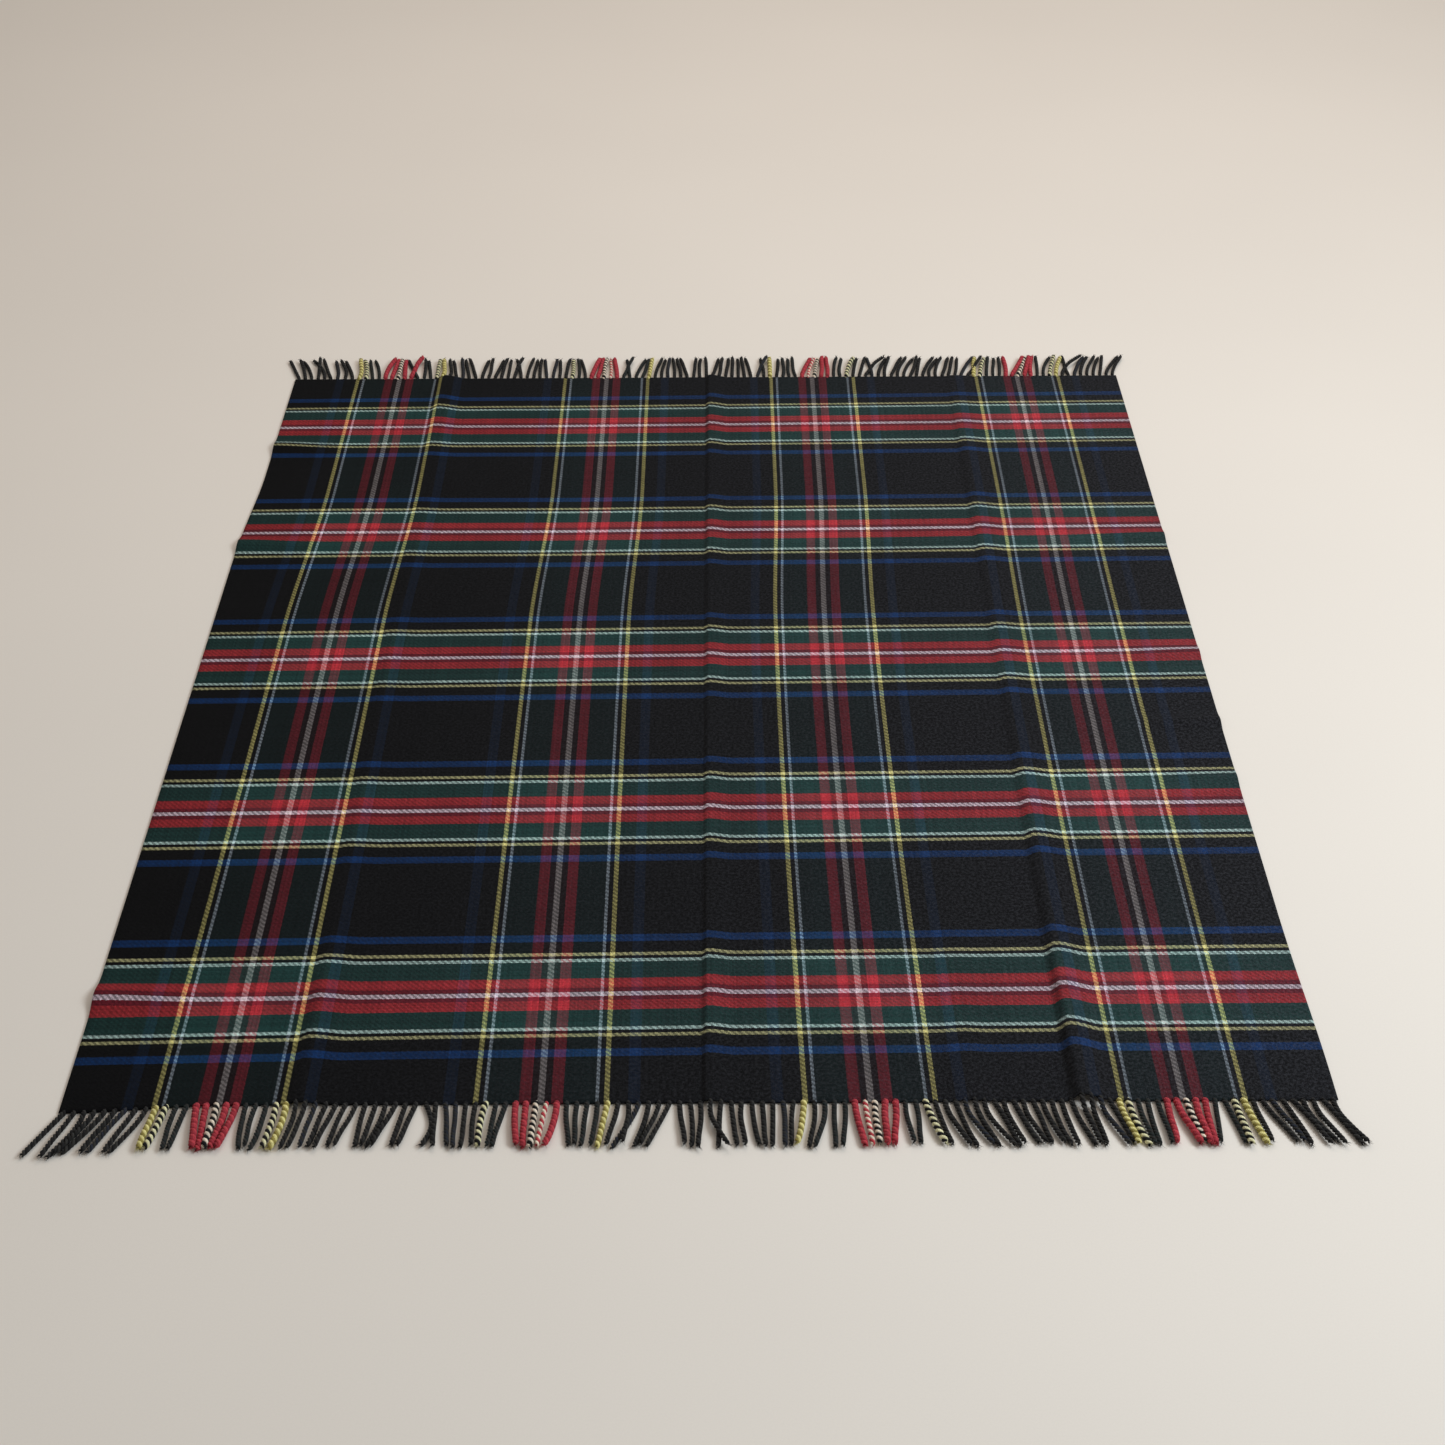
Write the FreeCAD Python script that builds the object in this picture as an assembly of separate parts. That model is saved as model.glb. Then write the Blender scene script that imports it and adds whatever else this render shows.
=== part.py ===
import FreeCAD, Part
import math
import os
import random

os.makedirs("parts", exist_ok=True)

# A tartan throw lying open. X runs across its width, Y along its length and Z up.
# The origin is under its middle, on the surface it rests on. All sizes are in millimetres.
WIDTH = 1400.0
LENGTH = 1765.0
THICKNESS = 2.5
CREASE_GAP = 0.6  # between the two halves, along the pressed centre crease

# The tartan repeat, and how far each warp stripe lies from the white line in the middle of its group.
SETT = 352.0
REPEATS = 4
STRIPES = (
    ("white", 0.0, 7.0),
    ("black", 7.0, 12.0),
    ("red", 12.0, 28.0),
    ("black", 28.0, 56.5),
    ("white", 56.5, 62.5),
    ("black", 62.5, 67.0),
    ("yellow", 67.0, 74.0),
    ("black", 74.0, 176.0),
)
COLOURS = ("black", "yellow", "white", "red")

# Pressed fold lines: the middle of each ridge, half its width, and its height at stations along the length.
RIDGE_STATIONS = (-882.5, -790.0, -690.0, -560.0, -400.0, -200.0, 0.0, 200.0, 400.0, 560.0, 690.0, 790.0, 882.5)
LEFT_RIDGE_X = -440.0
RIGHT_RIDGE_X = 420.0
CENTRE_RIDGE_X = 19.0
OUTER_RIDGE_HALF_WIDTH = 30.0
CENTRE_RIDGE_HALF_WIDTH = 16.0
LEFT_RIDGE = (7.5, 6.5, 4.5, 3.0, 2.0, 1.5, 1.5, 1.5, 1.5, 2.0, 3.5, 6.0, 7.0)
RIGHT_RIDGE = (10.5, 9.5, 8.0, 6.0, 4.5, 3.5, 3.0, 3.0, 3.5, 4.0, 3.0, 2.0, 2.0)
CENTRE_RIDGE = (2.5, 2.5, 2.5, 2.5, 2.5, 2.5, 2.5, 2.5, 2.5, 2.5, 3.0, 3.5, 3.5)
RIDGE_POINTS = 9

# Fringe: a row of round tassels, one for every 11 mm or so of the cloth's width, at each end.
TASSELS = 128
PITCH = WIDTH / TASSELS
TASSEL_DIAMETER = 5.0
TASSEL_RADIUS = TASSEL_DIAMETER / 2.0
FRINGE_LENGTH = 68.0
FRINGE_SPREAD = 3.0  # how much longer or shorter a tassel may be
TIP_SPACING = 6.3
# Tassels lie in small clumps: how many tassels, and how far their tips lean towards +X.
FRONT_CLUMPS = (
    (1, -31), (4, -27), (2, -26), (2, -24), (2, -9), (2, -6), (5, -2), (3, -3), (2, -7), (2, -10),
    (3, -12), (2, -14), (4, -12), (3, -14), (1, 3), (3, 3), (2, -2), (2, -8), (5, -3), (3, 0),
    (2, -7), (3, -14), (3, -19), (3, 2), (2, 8), (2, 5), (3, 3), (3, -4), (2, -10), (2, -3),
    (5, 2), (2, 4), (2, 16), (2, 21), (2, 23), (3, 22), (3, 18), (3, 14), (3, 14), (3, 18),
    (3, 9), (2, 4), (5, 6), (2, 10), (2, 12), (3, 23), (3, 25), (2, 27),
)
BACK_CLUMPS = (
    (1, -24), (2, -20), (3, -18), (3, -14), (2, -7), (2, -12), (5, 1), (3, -4), (2, -2), (2, -8),
    (3, -11), (2, 5), (3, 6), (2, 0), (2, 5), (2, -5), (2, 1), (2, 2), (2, -8), (5, 3),
    (2, 4), (3, 10), (2, 8), (2, -6), (2, -14), (3, 1), (2, 8), (2, 3), (3, -5), (3, 4),
    (2, 2), (2, -3), (5, 8), (2, 6), (2, 12), (2, 10), (3, 16), (2, 20), (3, 15), (3, 18),
    (3, 12), (3, 20), (2, 10), (3, 4), (5, 14), (2, 16), (2, 12), (3, 22), (3, 16), (2, 26),
)
# One tassel in the front fringe curls to the side: how far its path points stand off towards +X.
CURLED_TASSEL = 36
CURL = (0.0, 3.0, 8.5, 1.0)
# Where each tassel's path turns, as shares of its length, and its sideways reach there, as shares of its lean.
PATH_LENGTHS = (0.14, 0.42, 0.72, 1.0)
PATH_LEANS = (0.0, 0.27, 0.64, 1.0)
BOW = 1.3
ARC_SHARE = 0.45  # of the shorter run beside a turn, taken by the turn's arc
STRAIGHT = math.radians(1.5)  # a smaller turn than this is left out of a path

random.seed(7)


def ridge_section(middle, half_width, height, y):
    """The closed outline of a ridge across the cloth, at one station along its length."""
    under = []
    for step in range(RIDGE_POINTS):
        across = -1.0 + 2.0 * step / (RIDGE_POINTS - 1)
        rise = height * math.cos(across * math.pi / 2.0) ** 2
        under.append(FreeCAD.Vector(middle + across * half_width, y, rise))
    over = [point + FreeCAD.Vector(0, 0, THICKNESS) for point in under]
    curves = []
    for points in (under, over):
        curve = Part.BSplineCurve()
        curve.interpolate(
            Points=points,
            InitialTangent=FreeCAD.Vector(1, 0, 0),
            FinalTangent=FreeCAD.Vector(1, 0, 0),
        )
        curves.append(curve.toShape())
    left = Part.makeLine(under[0], over[0])
    right = Part.makeLine(under[-1], over[-1])
    return Part.Wire([curves[0], right, curves[1], left])


def ridge(middle, half_width, heights):
    """A strip of cloth, as long as the throw, that rises in the middle along a pressed fold line."""
    sections = [
        ridge_section(middle, half_width, height, y)
        for height, y in zip(heights, RIDGE_STATIONS)
    ]
    return Part.makeLoft(sections, True, True)


def flat(x_from, x_to):
    """A strip of cloth, as long as the throw, that lies flat."""
    return Part.makeBox(
        x_to - x_from, LENGTH, THICKNESS, FreeCAD.Vector(x_from, -LENGTH / 2.0, 0)
    )


def cloth_left():
    """The half of the cloth on the -X side of the centre crease."""
    ridge_from = LEFT_RIDGE_X - OUTER_RIDGE_HALF_WIDTH
    ridge_to = LEFT_RIDGE_X + OUTER_RIDGE_HALF_WIDTH
    cloth = flat(-WIDTH / 2.0, ridge_from)
    cloth = cloth.fuse(ridge(LEFT_RIDGE_X, OUTER_RIDGE_HALF_WIDTH, LEFT_RIDGE))
    return cloth.fuse(flat(ridge_to, -CREASE_GAP / 2.0))


def cloth_right():
    """The half of the cloth on the +X side, with a low ridge beside the centre crease."""
    centre_from = CENTRE_RIDGE_X - CENTRE_RIDGE_HALF_WIDTH
    centre_to = CENTRE_RIDGE_X + CENTRE_RIDGE_HALF_WIDTH
    ridge_from = RIGHT_RIDGE_X - OUTER_RIDGE_HALF_WIDTH
    ridge_to = RIGHT_RIDGE_X + OUTER_RIDGE_HALF_WIDTH
    cloth = flat(CREASE_GAP / 2.0, centre_from)
    cloth = cloth.fuse(ridge(CENTRE_RIDGE_X, CENTRE_RIDGE_HALF_WIDTH, CENTRE_RIDGE))
    cloth = cloth.fuse(flat(centre_to, ridge_from))
    cloth = cloth.fuse(ridge(RIGHT_RIDGE_X, OUTER_RIDGE_HALF_WIDTH, RIGHT_RIDGE))
    return cloth.fuse(flat(ridge_to, WIDTH / 2.0))


def stripe_colour(x):
    """The colour of the warp at x."""
    in_repeat = (x + REPEATS * SETT / 2.0) % SETT
    from_middle = abs(in_repeat - SETT / 2.0)
    for colour, start, end in STRIPES:
        if start <= from_middle <= end:
            return colour
    return "black"


def tassel_colour(x):
    """The brighter of the two plies that are twisted into the tassel rooted at x."""
    plies = (stripe_colour(x - PITCH / 4.0), stripe_colour(x + PITCH / 4.0))
    for colour in ("white", "yellow", "red"):
        if colour in plies:
            return colour
    return "black"


def raised(x, end):
    """How far the underside of the cloth's end is raised at x by the ridges. end is 0 at the front, -1 at the back."""
    height = 0.0
    for middle, half_width, heights in (
        (LEFT_RIDGE_X, OUTER_RIDGE_HALF_WIDTH, LEFT_RIDGE),
        (CENTRE_RIDGE_X, CENTRE_RIDGE_HALF_WIDTH, CENTRE_RIDGE),
        (RIGHT_RIDGE_X, OUTER_RIDGE_HALF_WIDTH, RIGHT_RIDGE),
    ):
        across = (x - middle) / half_width
        if abs(across) < 1.0:
            height += heights[end] * math.cos(across * math.pi / 2.0) ** 2
    return height


def turn_at(before, corner, after):
    """The angle by which a route turns at a corner, in radians."""
    return (corner - before).getAngle(after - corner)


def filleted(points):
    """A wire of straight runs through the points, joined by arcs that both runs are tangent to."""
    route = [points[0]]
    for corner, after in zip(points[1:], points[2:]):
        if turn_at(route[-1], corner, after) > STRAIGHT:
            route.append(corner)
    route.append(points[-1])
    start = route[0]
    edges = []
    for before, corner, after in zip(route, route[1:], route[2:]):
        arrive = (corner - before).normalize()
        leave = (after - corner).normalize()
        reach = ARC_SHARE * min((corner - before).Length, (after - corner).Length)
        radius = reach / math.tan(arrive.getAngle(leave) / 2.0)
        arc_from = corner - arrive * reach
        arc_to = corner + leave * reach
        inward = (leave - arrive).normalize()
        centre = corner + inward * math.hypot(radius, reach)
        arc_middle = centre - inward * radius
        edges.append(Part.makeLine(start, arc_from))
        edges.append(Part.Arc(arc_from, arc_middle, arc_to).toShape())
        start = arc_to
    edges.append(Part.makeLine(start, route[-1]))
    return Part.Wire(edges)


def tassel(root_x, tip_x, length, bow, outward, curled):
    """One tassel: a round strand that leaves the cloth's end square, then comes down and lies on the surface."""
    lean = tip_x - root_x
    end_y = outward * LENGTH / 2.0
    start_z = max(raised(root_x, 0 if outward < 0 else -1) + THICKNESS / 2.0, TASSEL_RADIUS)
    heights = (start_z, (start_z + TASSEL_RADIUS) / 2.0, TASSEL_RADIUS, TASSEL_RADIUS)
    bows = (0.0, bow, bow * 0.7, 0.0)
    points = [FreeCAD.Vector(root_x, end_y, start_z)]
    for step in range(len(PATH_LENGTHS)):
        sideways = CURL[step] if curled else PATH_LEANS[step] * lean + bows[step]
        along = outward * length * PATH_LENGTHS[step]
        points.append(FreeCAD.Vector(root_x + sideways, end_y + along, heights[step]))
    path = filleted(points)
    circle = Part.makeCircle(TASSEL_RADIUS, points[0], FreeCAD.Vector(0, outward, 0))
    return path.makePipeShell([Part.Wire([circle])], True, False)


def tassel_tips(clumps):
    """Where each tassel's tip lies in X, and how its clump bows, from -X to +X."""
    tips = []
    bows = []
    first = 0
    for count, lean in clumps:
        middle = -WIDTH / 2.0 + PITCH * (first + count / 2.0) + lean
        spacing = random.uniform(TIP_SPACING, 1.5 * TIP_SPACING)
        bow = random.uniform(-BOW, BOW)
        for place in range(count):
            tip = middle + spacing * (place - (count - 1) / 2.0)
            if tips:
                tip = max(tip, tips[-1] + TIP_SPACING)
            tips.append(tip)
            bows.append(bow)
        first += count
    return tips, bows


def fringe(end_name, clumps, outward, curled_tassel):
    """Writes one end's tassels, as one node for each colour in each repeat of the tartan."""
    tips, bows = tassel_tips(clumps)
    groups = {}
    for number in range(TASSELS):
        root_x = -WIDTH / 2.0 + PITCH * (number + 0.5)
        length = FRINGE_LENGTH + random.uniform(-FRINGE_SPREAD, FRINGE_SPREAD)
        strand = tassel(root_x, tips[number], length, bows[number], outward, number == curled_tassel)
        repeat = int((root_x + REPEATS * SETT / 2.0) // SETT) + 1
        groups.setdefault((repeat, tassel_colour(root_x)), []).append(strand)
    for repeat in range(1, REPEATS + 1):
        for colour in COLOURS:
            strands = groups[(repeat, colour)]
            Part.makeCompound(strands).exportStep(f"parts/fringe_{end_name}_{repeat}_{colour}.step")


cloth_left().exportStep("parts/cloth_left_half.step")
cloth_right().exportStep("parts/cloth_right_half.step")
fringe("front", FRONT_CLUMPS, -1.0, CURLED_TASSEL)
fringe("back", BACK_CLUMPS, 1.0, None)
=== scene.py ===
import math
import random

import bpy
import numpy as np
from mathutils import Matrix, Vector


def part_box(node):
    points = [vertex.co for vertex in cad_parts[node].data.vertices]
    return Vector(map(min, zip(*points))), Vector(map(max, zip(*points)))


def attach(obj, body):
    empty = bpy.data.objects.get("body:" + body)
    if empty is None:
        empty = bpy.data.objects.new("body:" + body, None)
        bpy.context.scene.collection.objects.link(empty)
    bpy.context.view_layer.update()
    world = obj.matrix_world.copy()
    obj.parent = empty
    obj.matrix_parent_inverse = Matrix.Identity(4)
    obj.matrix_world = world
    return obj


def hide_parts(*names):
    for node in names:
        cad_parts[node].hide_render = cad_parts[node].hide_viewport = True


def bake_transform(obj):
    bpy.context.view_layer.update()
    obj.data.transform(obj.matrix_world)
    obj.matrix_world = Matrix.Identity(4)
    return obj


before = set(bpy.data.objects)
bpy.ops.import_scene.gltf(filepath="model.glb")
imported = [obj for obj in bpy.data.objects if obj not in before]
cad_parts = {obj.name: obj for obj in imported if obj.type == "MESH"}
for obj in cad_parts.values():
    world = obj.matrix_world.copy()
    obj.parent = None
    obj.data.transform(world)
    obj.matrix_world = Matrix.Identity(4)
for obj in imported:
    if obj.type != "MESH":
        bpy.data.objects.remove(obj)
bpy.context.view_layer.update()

scene = bpy.context.scene
scene.view_settings.view_transform = "Standard"

# Camera: the photograph's viewing angle, in front of the throw and looking down on it.
LENS_MM = 60.74
SENSOR_MM = 36.0
CAMERA_AT = (0.030, -2.853, 1.871)
PITCH_DOWN = math.radians(34.63)
ROLL = math.radians(-0.29)

camera_data = bpy.data.cameras.new("Camera")
camera_data.lens = LENS_MM
camera_data.sensor_width = SENSOR_MM
camera_data.clip_end = 200.0
camera = bpy.data.objects.new("Camera", camera_data)
camera.location = CAMERA_AT
tilt = Matrix.Rotation(math.pi / 2.0 - PITCH_DOWN, 3, "X") @ Matrix.Rotation(ROLL, 3, "Z")
camera.rotation_euler = tilt.to_euler("XYZ")
bpy.context.collection.objects.link(camera)
scene.camera = camera

MM = 0.001

# The throw, in metres. The cloth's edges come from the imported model.
left_low, left_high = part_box("cloth_left_half")
_, right_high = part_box("cloth_right_half")
X_LOW, X_HIGH = left_low[0], right_high[0]
Y_LOW, Y_HIGH = left_low[1], left_high[1]
WIDTH = X_HIGH - X_LOW
THICKNESS = 0.0024

# The tartan: one repeat, in metres, is mirrored about the white line in the middle of each stripe group.
# Each stripe is a yarn colour and its number of threads, from the middle of that line out to the middle of
# the black block.
SETT = 0.352
WARP_STRIPES = (
    ("white", 2),
    ("maroon", 4),
    ("red", 7.5),
    ("green", 18.5),
    ("pale", 2),
    ("black", 3.5),
    ("yellow", 2),
    ("black", 11.75),
    ("navy", 7),
    ("black", 37.75),
)
WEFT_STRIPES = (
    ("white", 2),
    ("maroon", 4),
    ("red", 9.25),
    ("green", 16.25),
    ("pale", 3),
    ("black", 2.5),
    ("yellow", 3.5),
    ("black", 10.75),
    ("navy", 7),
    ("black", 37.75),
)
HALF_SETT_THREADS = 96
THREAD = SETT / 2.0 / HALF_SETT_THREADS
FRONT_GROUP = 0.187  # from the cloth's front end to the middle of its first group of weft stripes
WEFT_SLANT = 0.0114  # how far the weft runs back for each metre to the right

# Yarn colours, linear. The weft's white line is tinged pink by the reds beside it.
WARP_YARN = {
    "black": (0.0026, 0.0026, 0.0030),
    "white": (0.64, 0.55, 0.53),
    "maroon": (0.022, 0.007, 0.008),
    "pale": (0.54, 0.65, 0.74),
    "yellow": (1.0, 0.88, 0.26),
    "red": (0.43, 0.026, 0.044),
    "green": (0.006, 0.021, 0.021),
    "navy": (0.006, 0.017, 0.048),
}
WEFT_YARN = {
    "black": (0.0026, 0.0026, 0.0030),
    "white": (1.0, 0.78, 0.88),
    "maroon": (0.250, 0.019, 0.034),
    "pale": (0.62, 0.86, 0.80),
    "yellow": (0.60, 0.57, 0.28),
    "red": (0.62, 0.044, 0.054),
    "green": (0.017, 0.064, 0.057),
    "navy": (0.004, 0.040, 0.165),
}
WARP_SHARES = (0.06, 0.76)  # the warp's share of the colour where it runs under and where it runs over
LINE_SHARE = 0.80  # the same where the thicker yarn of the warp's pale and yellow lines runs over
STRAY_HAIR = 0.20  # the share of the surface that loose hairs of both yarns cover
HAIR_WEFT = 0.65  # the weft yarn's share of those hairs
FELTED = (0.80, 0.38)  # how far the brushed hairs even out the weave in dark yarn and in pale yarn
# Pale fuzz painted into the colour where it stands thickest, at the left side and at the right side.
# Its rise towards the right is a painted sheen, as if lit by the key lamp on the right.
FUZZ_AND_SHEEN_LEFT = (0.002, 0.002, 0.002, 1.0)
FUZZ_AND_SHEEN_RIGHT = (0.033, 0.0345, 0.0405, 1.0)
HAIR_STRAY = 0.0017  # how far a hair carries its thread's colour sideways, in metres
THREAD_SHADES = (0.84, 1.12)  # the darkest and the palest that a thread's dye makes it
# Noise scales over the flat cloth, from broad patches of dye down to single hairs.
PATCHES = 9.0
LINT = 260.0
TUFTS = 330.0
FLUFF = 620.0
HAIRS = 1300.0

# Pressed fold lines: where each ridge stands, how far it spreads to its left and right, and its height at
# stations along the length, all in millimetres.
RIDGE_STATIONS = (
    -882.5, -790.0, -690.0, -560.0, -400.0, -200.0, 0.0, 200.0, 400.0, 560.0, 690.0, 790.0, 882.5,
)
RIDGES = (
    (-440.0, 16.0, 44.0, (4.8, 5.2, 4.5, 3.0, 2.0, 1.5, 1.5, 1.5, 1.5, 2.0, 3.5, 6.0, 7.0)),
    (423.0, 16.0, 42.0, (10.4, 10.8, 9.5, 7.5, 6.0, 4.5, 3.5, 3.5, 4.0, 4.5, 3.0, 2.0, 2.0)),
    (302.0, 30.0, 30.0, (3.0, 2.0, 1.0, 0.5, 0.0, 0.0, 0.0, 0.0, 0.0, 0.0, 0.0, 0.0, 0.0)),
    (11.0, 8.0, 34.0, (4.2, 4.2, 4.2, 4.2, 4.0, 3.8, 3.7, 3.7, 3.8, 4.0, 4.3, 4.6, 4.8)),
)
WAVES = 0.0005  # the gentlest ups and downs of the whole sheet
# Small lifts of the side edges, in metres: X, Y, height, and reach inward and along the edge.
LIFTS = (
    (-0.700, 0.640, 0.0060, 0.070, 0.020),
    (-0.700, 0.330, 0.0065, 0.080, 0.018),
    (-0.700, -0.700, 0.0078, 0.090, 0.020),
    (0.700, 0.345, 0.0045, 0.110, 0.014),
    (0.700, 0.020, 0.0040, 0.090, 0.014),
    (0.700, -0.150, 0.0045, 0.120, 0.013),
    (0.700, -0.280, 0.0035, 0.080, 0.014),
)
ROLLED_OUT = 0.0008  # how far the middle of the cloth's edge stands out, in metres
HILLS = 7  # how many waves make up the gentle noise

# Fringe, in millimetres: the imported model's strands, one for one.
TASSELS = 128
TASSEL_PITCH = WIDTH / MM / TASSELS
FRINGE_LENGTH = 68.0
FRINGE_SPREAD = 3.0  # how much longer or shorter a tassel may be
TIP_SPACING = 6.3  # the least distance between two tips, before a clump is drawn together
BOW = 1.3  # how far a clump's tassels may bow aside
CURLED_TASSEL = 36  # the near fringe's one tassel that curls aside
# Clumps from -X to +X: how many tassels lean together, and how far to the right their tips lean.
FRONT_CLUMPS = (
    (1, -31), (4, -27), (2, -26), (2, -24), (2, -9), (2, -6), (5, -2), (3, -3), (2, -7), (2, -10),
    (3, -12), (2, -14), (4, -12), (3, -14), (1, 3), (3, 3), (2, -2), (2, -8), (5, -3), (3, 0),
    (2, -7), (3, -14), (3, -19), (3, 2), (2, 8), (2, 5), (3, 3), (3, -4), (2, -10), (2, -3),
    (5, 2), (2, 4), (2, 16), (2, 21), (2, 23), (3, 22), (3, 18), (3, 14), (3, 14), (3, 18),
    (3, 9), (2, 4), (5, 6), (2, 10), (2, 12), (3, 23), (3, 25), (2, 27),
)
BACK_CLUMPS = (
    (1, -24), (2, -20), (3, -18), (3, -14), (2, -7), (2, -12), (5, 1), (3, -4), (2, -2), (2, -8),
    (3, -11), (2, 5), (3, 6), (2, 0), (2, 5), (2, -5), (2, 1), (2, 2), (2, -8), (5, 3),
    (2, 4), (3, 10), (2, 8), (2, -6), (2, -14), (3, 1), (2, 8), (2, 3), (3, -5), (3, 4),
    (2, 2), (2, -3), (5, 8), (2, 6), (2, 12), (2, 10), (3, 16), (2, 20), (3, 15), (3, 18),
    (3, 12), (3, 20), (2, 10), (3, 4), (5, 14), (2, 16), (2, 12), (3, 22), (3, 16), (2, 26),
)

random.seed(7)
scatter = np.random.default_rng(11)


# ---------------------------------------------------------------- node helpers


class Nodes:
    """A material's node tree, with short ways to add the nodes used here."""

    def __init__(self, name):
        self.material = bpy.data.materials.new(name)
        self.material.use_nodes = True
        self.tree = self.material.node_tree
        self.shader = self.tree.nodes["Principled BSDF"]

    def add(self, kind, **settings):
        node = self.tree.nodes.new(kind)
        for name, value in settings.items():
            setattr(node, name, value)
        return node

    def feed(self, socket, value):
        if isinstance(value, bpy.types.NodeSocket):
            self.tree.links.new(value, socket)
        else:
            socket.default_value = value

    def maths(self, operation, *values):
        node = self.add("ShaderNodeMath", operation=operation)
        for socket, value in zip(node.inputs, values):
            self.feed(socket, value)
        return node.outputs[0]

    def mixed(self, blend, factor, a, b):
        node = self.add("ShaderNodeMix", data_type="RGBA", blend_type=blend)
        self.feed(node.inputs["Factor"], factor)
        self.feed(node.inputs["A"], a)
        self.feed(node.inputs["B"], b)
        return node.outputs["Result"]

    def power(self, colour, exponent):
        node = self.add("ShaderNodeGamma")
        self.feed(node.inputs["Color"], colour)
        self.feed(node.inputs["Gamma"], exponent)
        return node.outputs[0]

    def span(self, value, from_low, from_high, to_low, to_high):
        node = self.add("ShaderNodeMapRange")
        for socket, number in zip(node.inputs, (value, from_low, from_high, to_low, to_high)):
            self.feed(socket, number)
        return node.outputs[0]

    def noise(self, vector, scale, detail=2.0, roughness=0.5, output="Fac"):
        node = self.add("ShaderNodeTexNoise")
        self.feed(node.inputs["Vector"], vector)
        node.inputs["Scale"].default_value = scale
        node.inputs["Detail"].default_value = detail
        node.inputs["Roughness"].default_value = roughness
        return node.outputs[output]

    def white_noise(self, value):
        node = self.add("ShaderNodeTexWhiteNoise", noise_dimensions="1D")
        self.feed(node.inputs["W"], value)
        return node.outputs["Value"]

    def bump(self, height, distance, strength=1.0):
        node = self.add("ShaderNodeBump")
        node.inputs["Strength"].default_value = strength
        node.inputs["Distance"].default_value = distance
        self.feed(node.inputs["Height"], height)
        self.feed(self.shader.inputs["Normal"], node.outputs[0])

    def shaded(self, colour, shade):
        """A colour made darker or paler by a number at each place."""
        grey = self.add("ShaderNodeCombineColor")
        for socket in grey.inputs:
            self.feed(socket, shade)
        return self.mixed("MULTIPLY", 1.0, colour, grey.outputs[0])

    def surface(self, roughness, shine, sheen=0.0):
        """How the surface reflects: its roughness, its plain shine and the soft sheen of its hairs."""
        self.shader.inputs["Roughness"].default_value = roughness
        self.shader.inputs["Specular IOR Level"].default_value = shine
        if sheen:
            self.shader.inputs["Sheen Weight"].default_value = sheen
            self.shader.inputs["Sheen Roughness"].default_value = 0.5


def stripe_ramp(nodes, position, stripes, yarns):
    """The yarn colour at a share of the half repeat, from the white line outwards."""
    ramp = nodes.add("ShaderNodeValToRGB")
    ramp.color_ramp.interpolation = "CONSTANT"
    stops = ramp.color_ramp.elements
    threads = 0
    for number, (colour, count) in enumerate(stripes):
        place = threads / HALF_SETT_THREADS
        stop = stops[number] if number < 2 else stops.new(place)  # a new ramp has two stops
        stop.position = place
        stop.color = (*yarns[colour], 1.0)
        threads += count
    nodes.feed(ramp.inputs["Fac"], position)
    return ramp.outputs["Color"]


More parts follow.
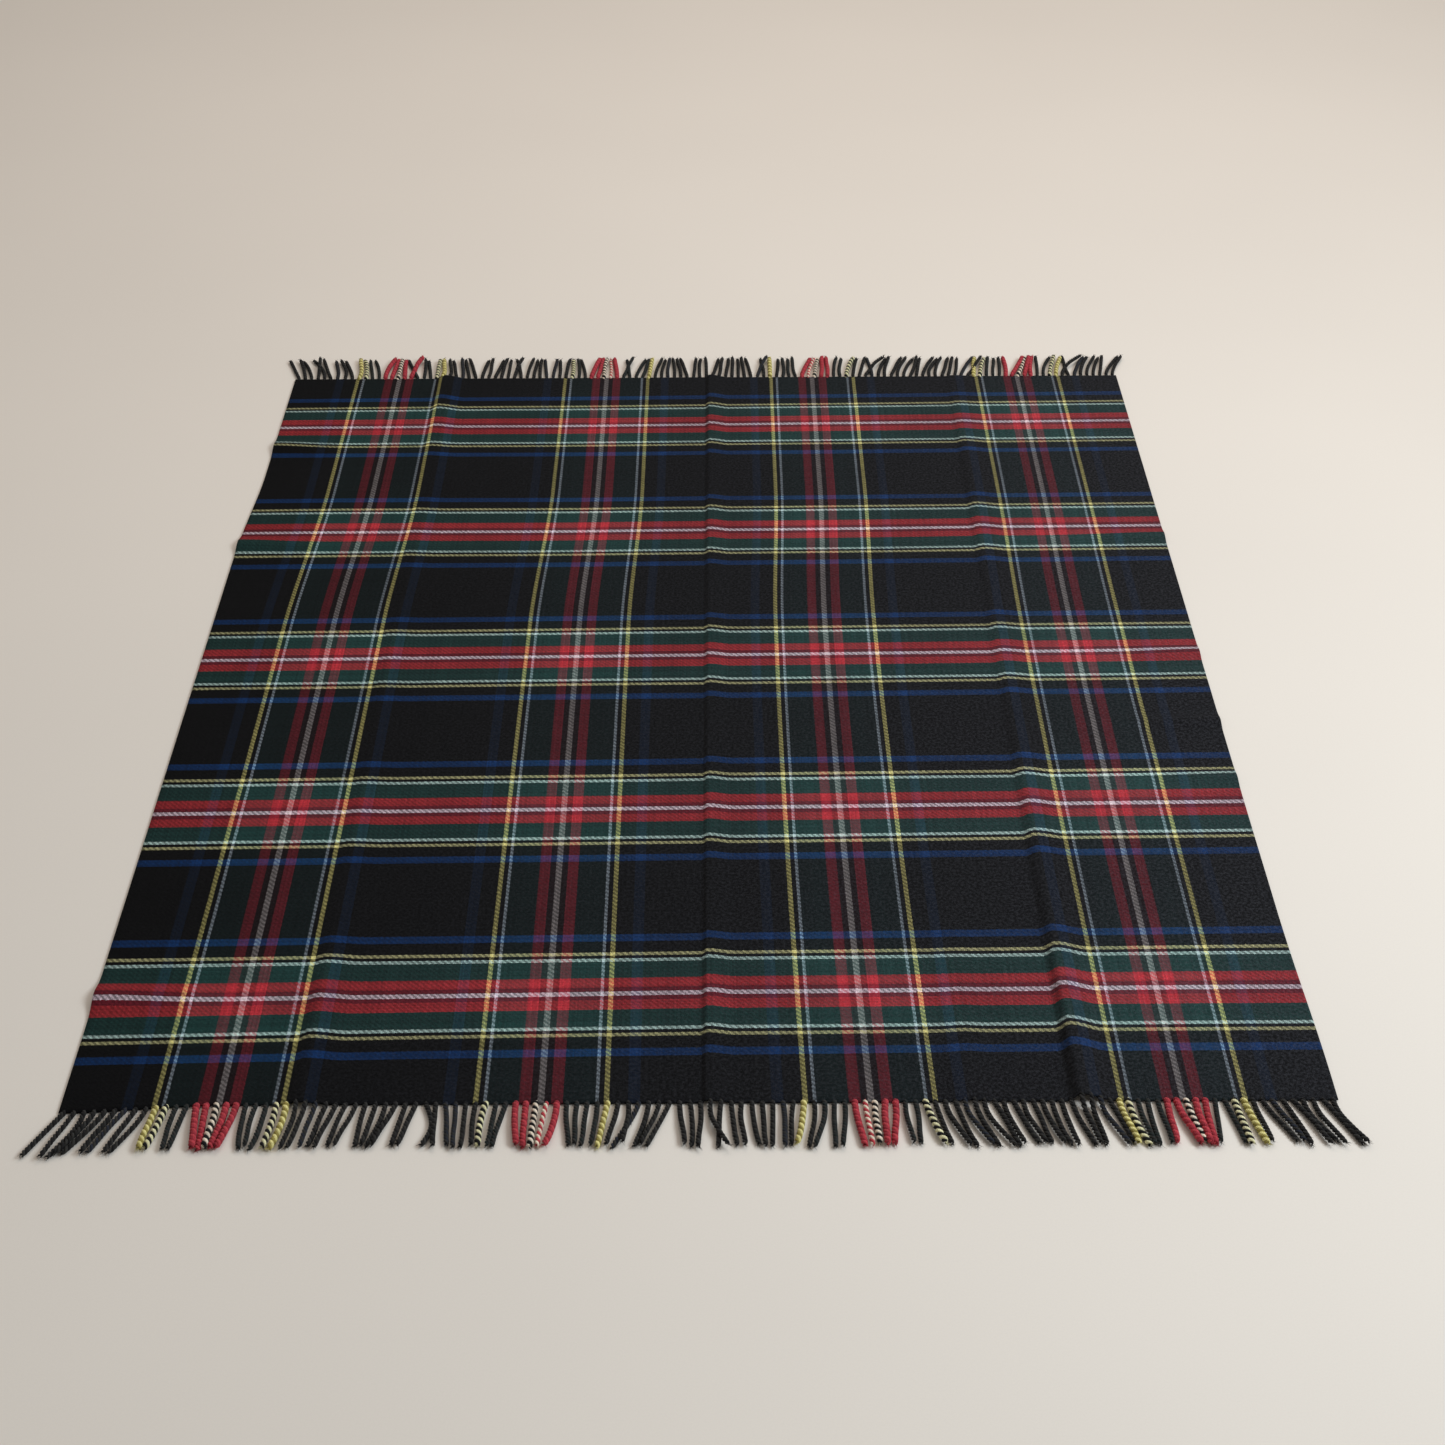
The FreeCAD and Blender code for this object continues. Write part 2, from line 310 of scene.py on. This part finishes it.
def tartan_material():
    """Brushed wool in a 2/2 twill: each thread has one colour, and where two cross, the upper one shows."""
    nodes = Nodes("Tartan_wool")
    place = nodes.add("ShaderNodeUVMap", uv_map="Flat").outputs[0]
    stray = nodes.add("ShaderNodeVectorMath", operation="MULTIPLY_ADD")
    nodes.feed(stray.inputs[0], nodes.noise(place, FLUFF, 3.0, 0.65, "Color"))
    stray.inputs[1].default_value = (2.0 * HAIR_STRAY, 2.0 * HAIR_STRAY, 0.0)
    stray.inputs[2].default_value = (-HAIR_STRAY, -HAIR_STRAY, 0.0)
    strayed = nodes.add("ShaderNodeVectorMath", operation="ADD")
    nodes.feed(strayed.inputs[0], place)
    nodes.feed(strayed.inputs[1], stray.outputs[0])
    split = nodes.add("ShaderNodeSeparateXYZ")
    nodes.feed(split.inputs[0], strayed.outputs[0])
    across, along = split.outputs[0], split.outputs[1]

    warp_count = nodes.maths("DIVIDE", across, THREAD)
    weft_count = nodes.maths("DIVIDE", along, THREAD)
    warp = nodes.maths("FLOOR", warp_count)
    weft = nodes.maths("FLOOR", weft_count)
    warp_side = nodes.maths("SUBTRACT", warp_count, warp)
    weft_side = nodes.maths("SUBTRACT", weft_count, weft)

    colours = []
    families = (
        (warp, HALF_SETT_THREADS, WARP_STRIPES, WARP_YARN),
        (weft, round(FRONT_GROUP / THREAD), WEFT_STRIPES, WEFT_YARN),
    )
    for thread, middle, stripes, yarns in families:
        centre = nodes.maths("ADD", thread, 0.5 - middle)
        away = nodes.maths("PINGPONG", centre, float(HALF_SETT_THREADS))
        share = nodes.maths("DIVIDE", away, float(HALF_SETT_THREADS))
        colours.append(stripe_ramp(nodes, share, stripes, yarns))
    warp_colour, weft_colour = colours

    # The twill: each thread goes over two and under two, one step further on in each row.
    step = nodes.maths("MODULO", nodes.maths("ADD", nodes.maths("ADD", warp, weft), 4096.0), 4.0)
    warp_over = nodes.maths("LESS_THAN", step, 1.5)
    loose = nodes.mixed("MIX", HAIR_WEFT, warp_colour, weft_colour)
    paleness = []
    for colour in colours:
        grey = nodes.add("ShaderNodeRGBToBW")
        nodes.feed(grey.inputs[0], colour)
        paleness.append(grey.outputs[0])
    sides = []
    over_share = nodes.span(paleness[0], 0.575, 0.60, WARP_SHARES[1], LINE_SHARE)
    for warp_share in (WARP_SHARES[0], over_share):
        weft_share = nodes.maths("SUBTRACT", 1.0, warp_share)
        thinned = (nodes.power(warp_colour, warp_share), nodes.power(weft_colour, weft_share))
        sides.append(nodes.mixed("MIX", STRAY_HAIR, nodes.mixed("MULTIPLY", 1.0, *thinned), loose))
    crisp = nodes.mixed("MIX", warp_over, *sides)
    felted = nodes.span(nodes.maths("MAXIMUM", *paleness), 0.12, 0.36, *FELTED)
    woven = nodes.mixed("MIX", felted, crisp, nodes.mixed("MIX", 0.5, *sides))

    # Uneven dye and spinning from thread to thread, short hairs, and pale fuzz with a painted sheen that
    # grows towards the right.
    warp_shade = nodes.span(nodes.white_noise(warp), 0.0, 1.0, *THREAD_SHADES)
    weft_shade = nodes.span(nodes.white_noise(nodes.maths("ADD", weft, 0.37)), 0.0, 1.0, *THREAD_SHADES)
    patches = nodes.span(nodes.noise(place, PATCHES, 3.0), 0.3, 0.7, 0.86, 1.12)
    hairs = nodes.noise(place, HAIRS, 3.0, 0.7)
    tufts = nodes.noise(place, TUFTS, 2.0, 0.6)
    hair_shade = nodes.maths(
        "MULTIPLY",
        nodes.span(hairs, 0.3, 0.7, 0.62, 1.34),
        nodes.span(tufts, 0.3, 0.7, 0.80, 1.20),
    )
    shade = nodes.maths("MULTIPLY", nodes.maths("MULTIPLY", warp_shade, weft_shade), patches)
    shade = nodes.maths("MULTIPLY", shade, hair_shade)
    shaded = nodes.shaded(woven, shade)
    lint = nodes.span(nodes.noise(place, LINT, 3.0, 0.7), 0.42, 0.76, 0.15, 1.25)
    # Painted sheen: the fuzz colour grows paler from left to right, as if lit from the right.
    fuzz_and_sheen_colour = nodes.mixed("MIX", nodes.span(across, X_LOW, X_HIGH, 0.0, 1.0), FUZZ_AND_SHEEN_LEFT, FUZZ_AND_SHEEN_RIGHT)
    nodes.feed(nodes.shader.inputs["Base Color"], nodes.mixed("ADD", lint, shaded, fuzz_and_sheen_colour))

    # Threads stand up round where they pass over, and dip where they go under.
    rounds = []
    for side in (warp_side, weft_side):
        off = nodes.maths("ABSOLUTE", nodes.maths("SUBTRACT", side, 0.5))
        squared = nodes.maths("POWER", nodes.maths("MULTIPLY", off, 2.0), 2.0)
        rounds.append(nodes.maths("SUBTRACT", 1.0, squared))
    under = nodes.maths("SUBTRACT", 1.0, warp_over)
    relief = nodes.maths(
        "ADD",
        nodes.maths("MULTIPLY", warp_over, rounds[0]),
        nodes.maths("MULTIPLY", under, rounds[1]),
    )
    nap = nodes.maths("MULTIPLY", hairs, 1.1)
    nodes.bump(nodes.maths("ADD", relief, nap), 0.0005, 0.8)
    nodes.surface(0.9, 0.04, 0.022)
    return nodes.material


def yarn_material(name, colour):
    """A ply of spun wool: fine twisted fibres along the strand, uneven in shade, with painted shade in the
    grooves between the fibres.
    """
    nodes = Nodes(name)
    place = nodes.add("ShaderNodeUVMap", uv_map="Flat")
    split = nodes.add("ShaderNodeSeparateXYZ")
    nodes.feed(split.inputs[0], place.outputs[0])
    # The first coordinate goes once round the ply, and the second counts millimetres along it.
    lay = nodes.maths(
        "ADD",
        nodes.maths("MULTIPLY", split.outputs[0], 5.0),
        nodes.maths("MULTIPLY", split.outputs[1], 0.9),
    )
    fibres = nodes.maths("ABSOLUTE", nodes.maths("SUBTRACT", nodes.maths("FRACT", lay), 0.5))
    where = nodes.add("ShaderNodeTexCoord").outputs["Object"]
    fine = nodes.noise(where, 2600.0, 3.0, 0.7)
    broad = nodes.noise(where, 130.0, 2.0)
    shade = nodes.maths(
        "MULTIPLY",
        nodes.span(fine, 0.3, 0.7, 0.62, 1.3),
        nodes.span(broad, 0.3, 0.7, 0.8, 1.15),
    )
    # Painted shade: each fibre is paler along its middle and darker where it meets the next.
    shade = nodes.maths("MULTIPLY", shade, nodes.span(fibres, 0.0, 0.5, 1.12, 0.72))
    nodes.feed(nodes.shader.inputs["Base Color"], nodes.shaded((*colour, 1.0), shade))
    rough = nodes.maths("SUBTRACT", nodes.maths("MULTIPLY", fine, 0.8), fibres)
    nodes.bump(rough, 0.00035, 0.9)
    nodes.surface(0.9, 0.15, 0.04)
    return nodes.material


# ---------------------------------------------------------------- cloth


def soft_noise(x, y, size, seed):
    """Smooth random hills between -1 and 1, about this size across."""
    rng = np.random.default_rng(seed)
    total = np.zeros(np.broadcast(x, y).shape)
    for _ in range(HILLS):
        angle = rng.uniform(0.0, 2.0 * math.pi)
        reach = size * rng.uniform(0.7, 1.6)
        wave = (x * math.cos(angle) + y * math.sin(angle)) / reach * 2.0 * math.pi
        total = total + np.sin(wave + rng.uniform(0.0, 2.0 * math.pi))
    return total / HILLS


def raised(x, y):
    """How far the ridges raise the cloth's underside, in metres, at arrays of places in metres."""
    height = np.zeros(np.broadcast(x, y).shape)
    for middle, left, right, heights in RIDGES:
        at_y = np.interp(y, np.array(RIDGE_STATIONS) * MM, np.array(heights) * MM)
        off = (x - middle * MM) / MM
        across = np.clip(np.where(off < 0.0, off / left, off / right), -1.0, 1.0)
        height = height + at_y * np.cos(across * math.pi / 2.0) ** 2
    for lift_x, lift_y, lift, inward, along in LIFTS:
        height = height + lift * np.exp(-(((x - lift_x) / inward) ** 2) - ((y - lift_y) / along) ** 2)
    return height + WAVES * (1.0 + soft_noise(x, y, 0.30, 5))


def eased(share):
    share = np.clip(share, 0.0, 1.0)
    return share * share * (3.0 - 2.0 * share)


def drawn_out(x, y):
    """How far the cloth has been pulled out of square, in metres to the right and to the back."""
    front = 0.0135 * np.exp(-(((x - 0.24) / 0.30) ** 2)) * np.clip(-y / 0.85, 0.0, None) ** 1.7
    back = 0.0120 * np.clip((0.66 - x) / 0.9, 0.0, 1.0) ** 0.8 * eased((y - 0.1) / 0.4)
    right = 0.0015 + front + back
    spread = 0.003 + 0.0078 * np.cos(math.pi * (y - 0.10) / 0.90)
    left_back = 0.006 * eased((-0.15 - x) / 0.45) * np.exp(-(((y - 0.5) / 0.25) ** 2))
    corners = -0.004 * (x / 0.7) ** 2 * eased((-y - 0.55) / 0.25)
    return right, spread + left_back + corners


def edge_moves(x, y):
    """How far the cloth itself lies from the square model, in metres to the right and to the back."""
    right = 0.0090 * eased((-0.35 - x) / 0.35) * eased((y - 0.30) / 0.25)
    right = right + 0.0050 * eased((x - 0.50) / 0.20) * eased((-0.55 - y) / 0.30)
    toward = -0.0110 * eased((-0.52 - x) / 0.18) * eased((-0.60 - y) / 0.28)
    return right, toward


def spaced(low, high, spacing, fine):
    """Places from low to high, closer together inside each fine range (start, end, spacing)."""
    places = [low]
    while places[-1] < high - 1e-9:
        here = places[-1]
        step = spacing
        for start, end, fine_step in fine:
            if start - spacing <= here < end:
                step = min(step, fine_step)
        places.append(min(here + step, high))
    if places[-1] - places[-2] < 0.3 * MM:
        places.pop(-2)
    return np.array(places)


def quad_mesh(name, vertices, faces, corners):
    """A smooth mesh of four-sided faces, with a weaving coordinate at each corner of each face."""
    mesh = bpy.data.meshes.new(name)
    mesh.vertices.add(len(vertices))
    mesh.vertices.foreach_set("co", vertices.astype(np.float32).ravel())
    mesh.loops.add(faces.size)
    mesh.loops.foreach_set("vertex_index", faces.ravel().astype(np.int32))
    mesh.polygons.add(len(faces))
    mesh.polygons.foreach_set("loop_start", np.arange(0, faces.size, 4, dtype=np.int32))
    mesh.polygons.foreach_set("use_smooth", np.ones(len(faces), dtype=bool))
    layer = mesh.uv_layers.new(name="Flat")
    layer.data.foreach_set("uv", corners.astype(np.float32).ravel())
    mesh.update(calc_edges=True)
    return mesh


def cloth_mesh():
    """One closed sheet over both halves, with its ridges, rounded edges and flat weaving coordinates."""
    xs = spaced(
        X_LOW,
        X_HIGH,
        0.006,
        ((-0.462, -0.43, 0.002), (-0.003, 0.018, 0.0008), (0.018, 0.04, 0.002), (0.402, 0.432, 0.0015)),
    )
    ys = spaced(Y_LOW, Y_HIGH, 0.006, ())
    grid_x, grid_y = np.meshgrid(xs, ys, indexing="ij")
    under = raised(grid_x, grid_y)
    move_x, move_y = edge_moves(grid_x, grid_y)
    moved_x = grid_x + move_x
    moved_y = grid_y + move_y
    columns, rows = grid_x.shape
    count = columns * rows
    top = np.stack([moved_x, moved_y, under + THICKNESS], -1).reshape(-1, 3)
    bottom = np.stack([moved_x, moved_y, under], -1).reshape(-1, 3)
    drawn_x, drawn_y = drawn_out(moved_x, moved_y)
    flat_x = moved_x - drawn_x
    flat = np.stack([flat_x, moved_y - drawn_y - Y_LOW - WEFT_SLANT * flat_x], -1).reshape(-1, 2)

    index = np.arange(count).reshape(columns, rows)
    a, b = index[:-1, :-1].ravel(), index[1:, :-1].ravel()
    c, d = index[1:, 1:].ravel(), index[:-1, 1:].ravel()
    faces = [np.stack([a, b, c, d], 1), np.stack([d, c, b, a], 1) + count]

    # The edge: a rim half way down, pushed out a little so that it looks rolled.
    rim = np.concatenate([index[:, 0], index[-1, 1:], index[-2::-1, -1], index[0, -2:0:-1]])
    middle = (top[rim] + bottom[rim]) / 2.0
    outward = np.zeros_like(middle)
    outward[:columns, 1] = -1.0
    outward[columns - 1 : columns + rows - 1, 0] = 1.0
    outward[columns + rows - 2 : 2 * columns + rows - 2, 1] = 1.0
    outward[2 * columns + rows - 3 :, 0] = -1.0
    outward[0, 0] = -1.0
    middle = middle + outward * ROLLED_OUT
    vertices = np.concatenate([top, bottom, middle])
    coordinates = np.concatenate([flat, flat, flat[rim]])
    ring = 2 * count + np.arange(len(rim))
    ring_next = np.roll(ring, -1)
    rim_next = np.roll(rim, -1)
    faces.append(np.stack([rim_next, rim, ring, ring_next], 1))
    faces.append(np.stack([ring_next, ring, rim + count, rim_next + count], 1))
    faces = np.concatenate(faces)
    mesh = quad_mesh("Cloth", vertices, faces, coordinates[faces.ravel()])
    mesh.validate()
    return mesh


cloth = bpy.data.objects.new("Cloth", cloth_mesh())
bpy.context.collection.objects.link(cloth)
cloth.data.materials.append(tartan_material())
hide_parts("cloth_left_half", "cloth_right_half")


# ---------------------------------------------------------------- fringe

PLY_MATERIALS = {
    "black": yarn_material("Yarn_black", (0.014, 0.0135, 0.014)),
    "navy": yarn_material("Yarn_navy", (0.022, 0.026, 0.038)),
    "green": yarn_material("Yarn_green", (0.018, 0.024, 0.024)),
    "red": yarn_material("Yarn_red", (0.54, 0.062, 0.078)),
    "yellow": yarn_material("Yarn_yellow", (0.86, 0.78, 0.32)),
    # Painted shade: a darker copy of the yellow yarn, the second ply of yellow tassels, so that their twist
    # shows.
    "ochre": yarn_material("Yarn_ochre", (0.34, 0.28, 0.075)),
    "white": yarn_material("Yarn_white", (0.92, 0.80, 0.64)),
    "pale": yarn_material("Yarn_pale", (0.86, 0.82, 0.50)),
    # Painted highlight and painted shade: a paler copy of the black yarn and a darker copy of the red, the
    # second plies of black and red tassels, so that their twist shows.
    "charcoal": yarn_material("Yarn_black_painted_highlight", (0.036, 0.035, 0.033)),
    "crimson": yarn_material("Yarn_crimson", (0.37, 0.036, 0.052)),
}
SLOT_ORDER = list(PLY_MATERIALS)
# The piece that a tassel belongs to, by its yarn. The rest count as black, and a tassel of two colours
# counts as the first of them in NODE_ORDER.
NODE_COLOURS = {"white": "white", "pale": "white", "yellow": "yellow", "red": "red"}
NODE_ORDER = ("white", "yellow", "red", "black")
PLY_RADIUS = 2.05
LAY_RADIUS = 1.65
TWIST_PITCH = 9.2
HEFT = {"black": 0.86, "yellow": 1.05, "white": 1.05, "red": 1.10}  # how thick each colour's tassels are
RINGS_PER_TURN = 12
FRAYED_FIBRES = 7
STRAY_FIBRES = 6
SIDES = 7
FIBRE_RADII = np.array([0.20, 0.17, 0.13, 0.03])  # from a hair's base to its tip
GATHER = 3.0  # how far inside the cloth's end a tassel's plies begin
DRAWN_TOGETHER = 0.86  # how much closer a clump's tips lie than their stand-ins' tips
CROSSED = {"front": (56, 64), "back": (3, 17, 33, 50, 71, 88, 104, 119)}  # each lies over the next tassel


def from_group(x):
    """How far x lies from the middle of its stripe group, in millimetres."""
    return (x + 2.0 * SETT / MM) % (SETT / MM) - SETT / MM / 2.0


def gathered(plies, in_middle):
    """The colours that show in a tassel, which draws in its neighbours' threads as well as its own; a
    black, red or yellow tassel instead gets a paler or darker copy of its own yarn as second ply, a painted
    highlight or painted shade that makes the twist show.
    """
    if "white" in plies or set(plies) == {"maroon"}:
        return ("white", "black") if in_middle else ("white", "red")
    if "pale" in plies:
        return ("pale", "black")
    if "red" in plies or "maroon" in plies:
        return ("red", "crimson")
    if "yellow" in plies:
        return ("yellow", "ochre")
    return plies[0], "charcoal"


def warp_colour_at(x):
    """The colour of the warp thread at x, in millimetres."""
    threads = abs(from_group(x)) / (THREAD / MM)
    for colour, count in WARP_STRIPES:
        threads -= count
        if threads < 0.0:
            return colour
    return "black"


def tassel_tips(clumps):
    """Where each tassel's tip lies in X, and how its clump bows, from -X to +X."""
    tips = []
    bows = []
    middles = []
    first = 0
    for count, lean in clumps:
        middle = X_LOW / MM + TASSEL_PITCH * (first + count / 2.0) + lean
        spacing = random.uniform(TIP_SPACING, 1.5 * TIP_SPACING)
        bow = random.uniform(-BOW, BOW)
        for place in range(count):
            tip = middle + spacing * (place - (count - 1) / 2.0)
            if tips:
                tip = max(tip, tips[-1] + TIP_SPACING)
            tips.append(tip)
            bows.append(bow)
        middles += [sum(tips[first:]) / count] * count
        first += count
    tips = [middle + DRAWN_TOGETHER * (tip - middle) for tip, middle in zip(tips, middles)]
    return tips, bows


def tassel_line(root, tip_x, length, bow, outward, curled, lift, heft):
    """The middle line of a tassel in millimetres, from just inside the cloth's end to its tip."""
    root_x, end_y = root
    turns = (length + GATHER) / TWIST_PITCH
    along = np.linspace(-GATHER, length, int(turns * RINGS_PER_TURN))
    share = np.clip(along / length, 0.0, 1.0)
    if curled:
        sideways = 9.0 * np.sin(math.pi * share**1.1) + share
    else:
        bend = scatter.uniform(0.95, 1.8)
        wave = scatter.uniform(-1.0, 1.0) * np.sin(2.0 * math.pi * share)
        own_bow = bow + scatter.uniform(-1.3, 1.3)
        sideways = (tip_x - root_x) * np.clip((share - 0.04) / 0.96, 0.0, 1.0) ** bend
        sideways = sideways + own_bow * np.sin(math.pi * share**0.85) + wave * share
    under = float(raised(np.array(root_x * MM), np.array(end_y * MM))) / MM
    start_z = under + THICKNESS / MM / 2.0
    lie = heft * (PLY_RADIUS + LAY_RADIUS) + 0.08
    highest = max(start_z, lie)
    height = start_z + (highest - start_z) * eased((along + GATHER) / 9.0)
    height = height + (lie - highest) * eased(share / 0.28) + lift * eased((share - 0.25) / 0.4)
    return np.stack([root_x + sideways, end_y + outward * along, height], 1), along


def unit(vectors):
    return vectors / np.linalg.norm(vectors, axis=1, keepdims=True)


def directions(line):
    """The unit vectors forward, to the side and up at each point of a line."""
    forward = unit(np.gradient(line, axis=0))
    side = unit(np.cross(forward, (0.0, 0.0, 1.0)))
    return forward, side, np.cross(side, forward)


def tube(line, radii, sides):
    """Rings of vertices round a line, each facing along it."""
    _, side, up = directions(line)
    angles = np.linspace(0.0, 2.0 * math.pi, sides, endpoint=False)
    ring = np.cos(angles)[None, :, None] * side[:, None, :] + np.sin(angles)[None, :, None] * up[:, None, :]
    return line[:, None, :] + ring * radii[:, None, None]


class Strands:
    """Collects tubes into one mesh, with a material and a weaving coordinate for each face."""

    def __init__(self):
        self.vertices = []
        self.quads = []
        self.quad_uvs = []
        self.quad_slots = []
        self.total = 0

    def add(self, rings, along, slot):
        count, sides, _ = rings.shape
        index = np.arange(count * sides).reshape(count, sides) + self.total
        after = np.roll(index, -1, axis=1)
        quads = np.stack([index[:-1], index[1:], after[1:], after[:-1]], -1).reshape(-1, 4)
        round_from = np.arange(sides) / sides
        round_to = (np.arange(sides) + 1) / sides
        low = along[:-1, None] + np.zeros(sides)
        high = along[1:, None] + np.zeros(sides)
        first = round_from[None, :] + np.zeros((count - 1, 1))
        last = round_to[None, :] + np.zeros((count - 1, 1))
        corners = ((first, low), (first, high), (last, high), (last, low))
        uvs = np.stack([np.stack(corner, -1) for corner in corners], 2).reshape(-1, 4, 2)
        self.vertices.append(rings.reshape(-1, 3))
        self.quads.append(quads)
        self.quad_uvs.append(uvs)
        self.quad_slots.append(np.full(len(quads), slot))
        self.total += count * sides

    def mesh(self, name):
        vertices = np.concatenate(self.vertices) * MM
        vertices[:, 2] = np.maximum(vertices[:, 2], 0.0)  # the yarn lies flat where it meets the floor
        mesh = quad_mesh(name, vertices, np.concatenate(self.quads), np.concatenate(self.quad_uvs))
        mesh.polygons.foreach_set("material_index", np.concatenate(self.quad_slots).astype(np.int32))
        return mesh


def add_tassel(strands, line, along, slots, heft):
    """Two plies twisted round one another, thin where they leave the cloth and frayed at the tip."""
    forward, side, up = directions(line)
    pitch = TWIST_PITCH * scatter.uniform(0.9, 1.12)
    start = scatter.uniform(0.0, 2.0 * math.pi)
    size = heft * scatter.uniform(0.94, 1.03)
    length = along[-1]
    opening = eased((along + GATHER) / 5.0)
    closing = eased((along - length + 5.0) / 5.0)
    for ply, slot in enumerate(slots):
        angle = 2.0 * math.pi * along / pitch + start + math.pi * ply
        lay = LAY_RADIUS * size * (0.35 + 0.65 * opening) * (1.0 + 0.15 * closing)
        offset = np.cos(angle)[:, None] * side + np.sin(angle)[:, None] * up
        middle = line + offset * lay[:, None]
        radii = PLY_RADIUS * size * (0.6 + 0.4 * opening) * (1.0 - 0.5 * closing)
        strands.add(tube(middle, radii, SIDES), along, slot)
        for _ in range(FRAYED_FIBRES):
            reach = scatter.uniform(2.0, 6.5)
            spread = scatter.uniform(-0.6, 0.6)
            rise = scatter.uniform(-0.15, 0.25)
            base = middle[-2] + scatter.uniform(-0.7, 0.7, 3)
            aim = forward[-1] + side[-1] * spread + up[-1] * rise
            add_fibre(strands, base, aim * reach, side[-1] * spread * reach * 0.4, slot)
        for _ in range(STRAY_FIBRES):
            place = scatter.integers(8, len(along) - 2)
            turn = scatter.uniform(0.0, 2.0 * math.pi)
            out = math.cos(turn) * side[place] + abs(math.sin(turn)) * up[place]
            reach = scatter.uniform(1.2, 3.2)
            aim = (out + forward[place] * scatter.uniform(0.3, 1.4)) * reach
            base = middle[place] + out * radii[place] * 0.8
            add_fibre(strands, base, aim, forward[place] * reach * 0.5, slot)


def add_fibre(strands, base, reach, bend, slot):
    """A single hair of wool, in millimetres, curving from its base."""
    points = len(FIBRE_RADII)
    steps = np.linspace(0.0, 1.0, points)[:, None]
    fibre = base + reach * steps + bend * steps**2
    fibre[:, 2] = np.maximum(fibre[:, 2], 0.2)
    strands.add(tube(fibre, FIBRE_RADII, 3), np.linspace(0.0, 4.0, points), slot)


def make_fringe(end_name, clumps, outward, curled_tassel):
    """One end's tassels, as one piece for each colour in each repeat of the tartan."""
    tips, bows = tassel_tips(clumps)
    lifts = [1.6 * (number % 2) for number in range(TASSELS)]
    for number in CROSSED[end_name]:
        tips[number], tips[number + 1] = tips[number + 1] + 2.0, tips[number] - 2.0
        lifts[number] = 4.5
        lifts[number + 1] = 0.0
    end_y = Y_LOW if outward < 0.0 else Y_HIGH
    groups = {}
    for number in range(TASSELS):
        root_x = X_LOW / MM + TASSEL_PITCH * (number + 0.5)
        length = FRINGE_LENGTH + random.uniform(-FRINGE_SPREAD, FRINGE_SPREAD)
        drawn = float(drawn_out(root_x * MM, end_y)[0]) * eased((0.70 - abs(root_x * MM)) / 0.12)
        moved = edge_moves(root_x * MM, end_y)
        root = (root_x + max(drawn, float(moved[0])) / MM, (end_y + float(moved[1])) / MM)
        tip_x = tips[number] + root[0] - root_x
        plies = [warp_colour_at(root_x + side * TASSEL_PITCH / 4.0) for side in (-1.0, 1.0)]
        shown = [NODE_COLOURS.get(ply, "black") for ply in plies]
        colour = next(name for name in NODE_ORDER if name in shown)
        heft = HEFT[colour]
        curled = number == curled_tassel
        line, along = tassel_line(root, tip_x, length, bows[number], outward, curled, lifts[number], heft)
        plies = gathered(plies, abs(from_group(root_x)) < TASSEL_PITCH / 2.0)
        repeat = int((root_x + 2.0 * SETT / MM) // (SETT / MM)) + 1
        strands = groups.setdefault((repeat, colour), Strands())
        slots = [SLOT_ORDER.index(ply) for ply in plies]
        add_tassel(strands, line, along, slots, heft)
    pieces = []
    for (repeat, colour), strands in sorted(groups.items()):
        name = f"Fringe_{end_name}_{repeat}_{colour}"
        piece = bpy.data.objects.new(name, strands.mesh(name))
        bpy.context.collection.objects.link(piece)
        for ply in SLOT_ORDER:
            piece.data.materials.append(PLY_MATERIALS[ply])
        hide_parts(f"fringe_{end_name}_{repeat}_{colour}")
        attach(piece, "left_half" if repeat <= 2 else "right_half")
        pieces.append(piece)
    return pieces


fringe_pieces = make_fringe("front", FRONT_CLUMPS, -1.0, CURLED_TASSEL)
fringe_pieces += make_fringe("back", BACK_CLUMPS, 1.0, None)

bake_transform(cloth)


# ---------------------------------------------------------------- floor and light


FLOOR_COLOUR = (0.80, 0.75, 0.68, 1.0)
FLOOR_RADIUS = 30.0
FLOOR_GAP = 0.0004  # the floor lies this far under the throw, in metres


def floor_material():
    """A smooth pale floor, with faint patches and a fine grain."""
    nodes = Nodes("Floor_pale")
    where = nodes.add("ShaderNodeTexCoord").outputs["Object"]
    soft = nodes.noise(where, 1.1, 2.0)
    grain = nodes.noise(where, 420.0, 2.0)
    shade = nodes.maths(
        "MULTIPLY",
        nodes.span(soft, 0.3, 0.7, 0.985, 1.015),
        nodes.span(grain, 0.3, 0.7, 0.99, 1.01),
    )
    nodes.feed(nodes.shader.inputs["Base Color"], nodes.shaded(FLOOR_COLOUR, shade))
    nodes.surface(0.85, 0.2)
    return nodes.material


bpy.ops.mesh.primitive_circle_add(
    vertices=96,
    radius=FLOOR_RADIUS,
    fill_type="NGON",
    location=(0.0, 0.0, -FLOOR_GAP),
)
floor = bpy.context.object
floor.name = "Floor"
floor.data.materials.append(floor_material())


def area_light(name, location, target, size, power, colour):
    data = bpy.data.lights.new(name, "AREA")
    data.shape = "RECTANGLE"
    data.size, data.size_y = size
    data.energy = power
    data.color = colour
    light = bpy.data.objects.new(name, data)
    light.location = location
    direction = Vector(target) - Vector(location)
    light.rotation_euler = direction.to_track_quat("-Z", "Y").to_euler()
    light.visible_camera = False
    bpy.context.collection.objects.link(light)


area_light("Key", (3.0, -1.2, 3.0), (-0.5, 0.2, 0.0), (1.6, 1.6), 125.0, (0.85, 0.93, 1.0))
area_light("Back", (0.6, 2.3, 3.6), (0.7, 2.0, 0.0), (3.0, 3.0), 60.0, (1.0, 0.89, 0.81))

world = bpy.data.worlds.new("World")
world.use_nodes = True
world.node_tree.nodes["Background"].inputs["Color"].default_value = (1.0, 0.94, 0.88, 1.0)
world.node_tree.nodes["Background"].inputs["Strength"].default_value = 0.30
scene.world = world
